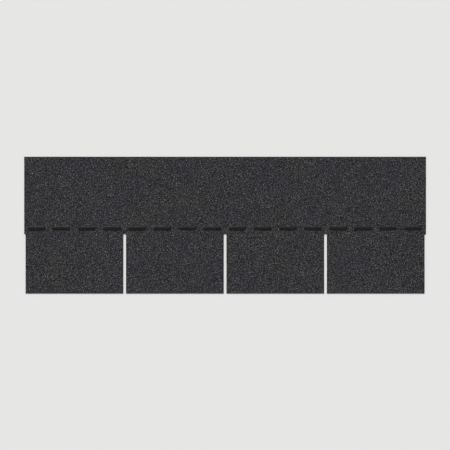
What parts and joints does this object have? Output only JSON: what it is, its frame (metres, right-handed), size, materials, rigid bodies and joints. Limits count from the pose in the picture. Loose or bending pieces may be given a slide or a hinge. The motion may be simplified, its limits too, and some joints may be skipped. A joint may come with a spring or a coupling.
{
  "type": "asphalt strip shingle",
  "caption": "Flat asphalt roofing strip with rectangular tabs, narrow slots between them, a dashed self-seal line on its granule face and a release film on its back.",
  "frame": {"origin": "middle of the strip, halfway along and halfway up it, on its back face, which it lies on", "axes": "+X along the strip, +Y from the butt edge of the tabs towards the top edge that the next course covers, +Z out of the granule face"},
  "size_m": [1, 0.34, 0.0038],
  "materials": {
    "granule_sheet": "matte charcoal mineral granules on asphalt",
    "seal_asphalt": "smooth glossy black adhesive asphalt",
    "film": "thin glossy polyester film"
  },
  "bodies": {
    "root": {"shingle_strip": "granule_sheet", "seal_dabs": "seal_asphalt", "release_film": "film"}
  },
  "joints": []
}
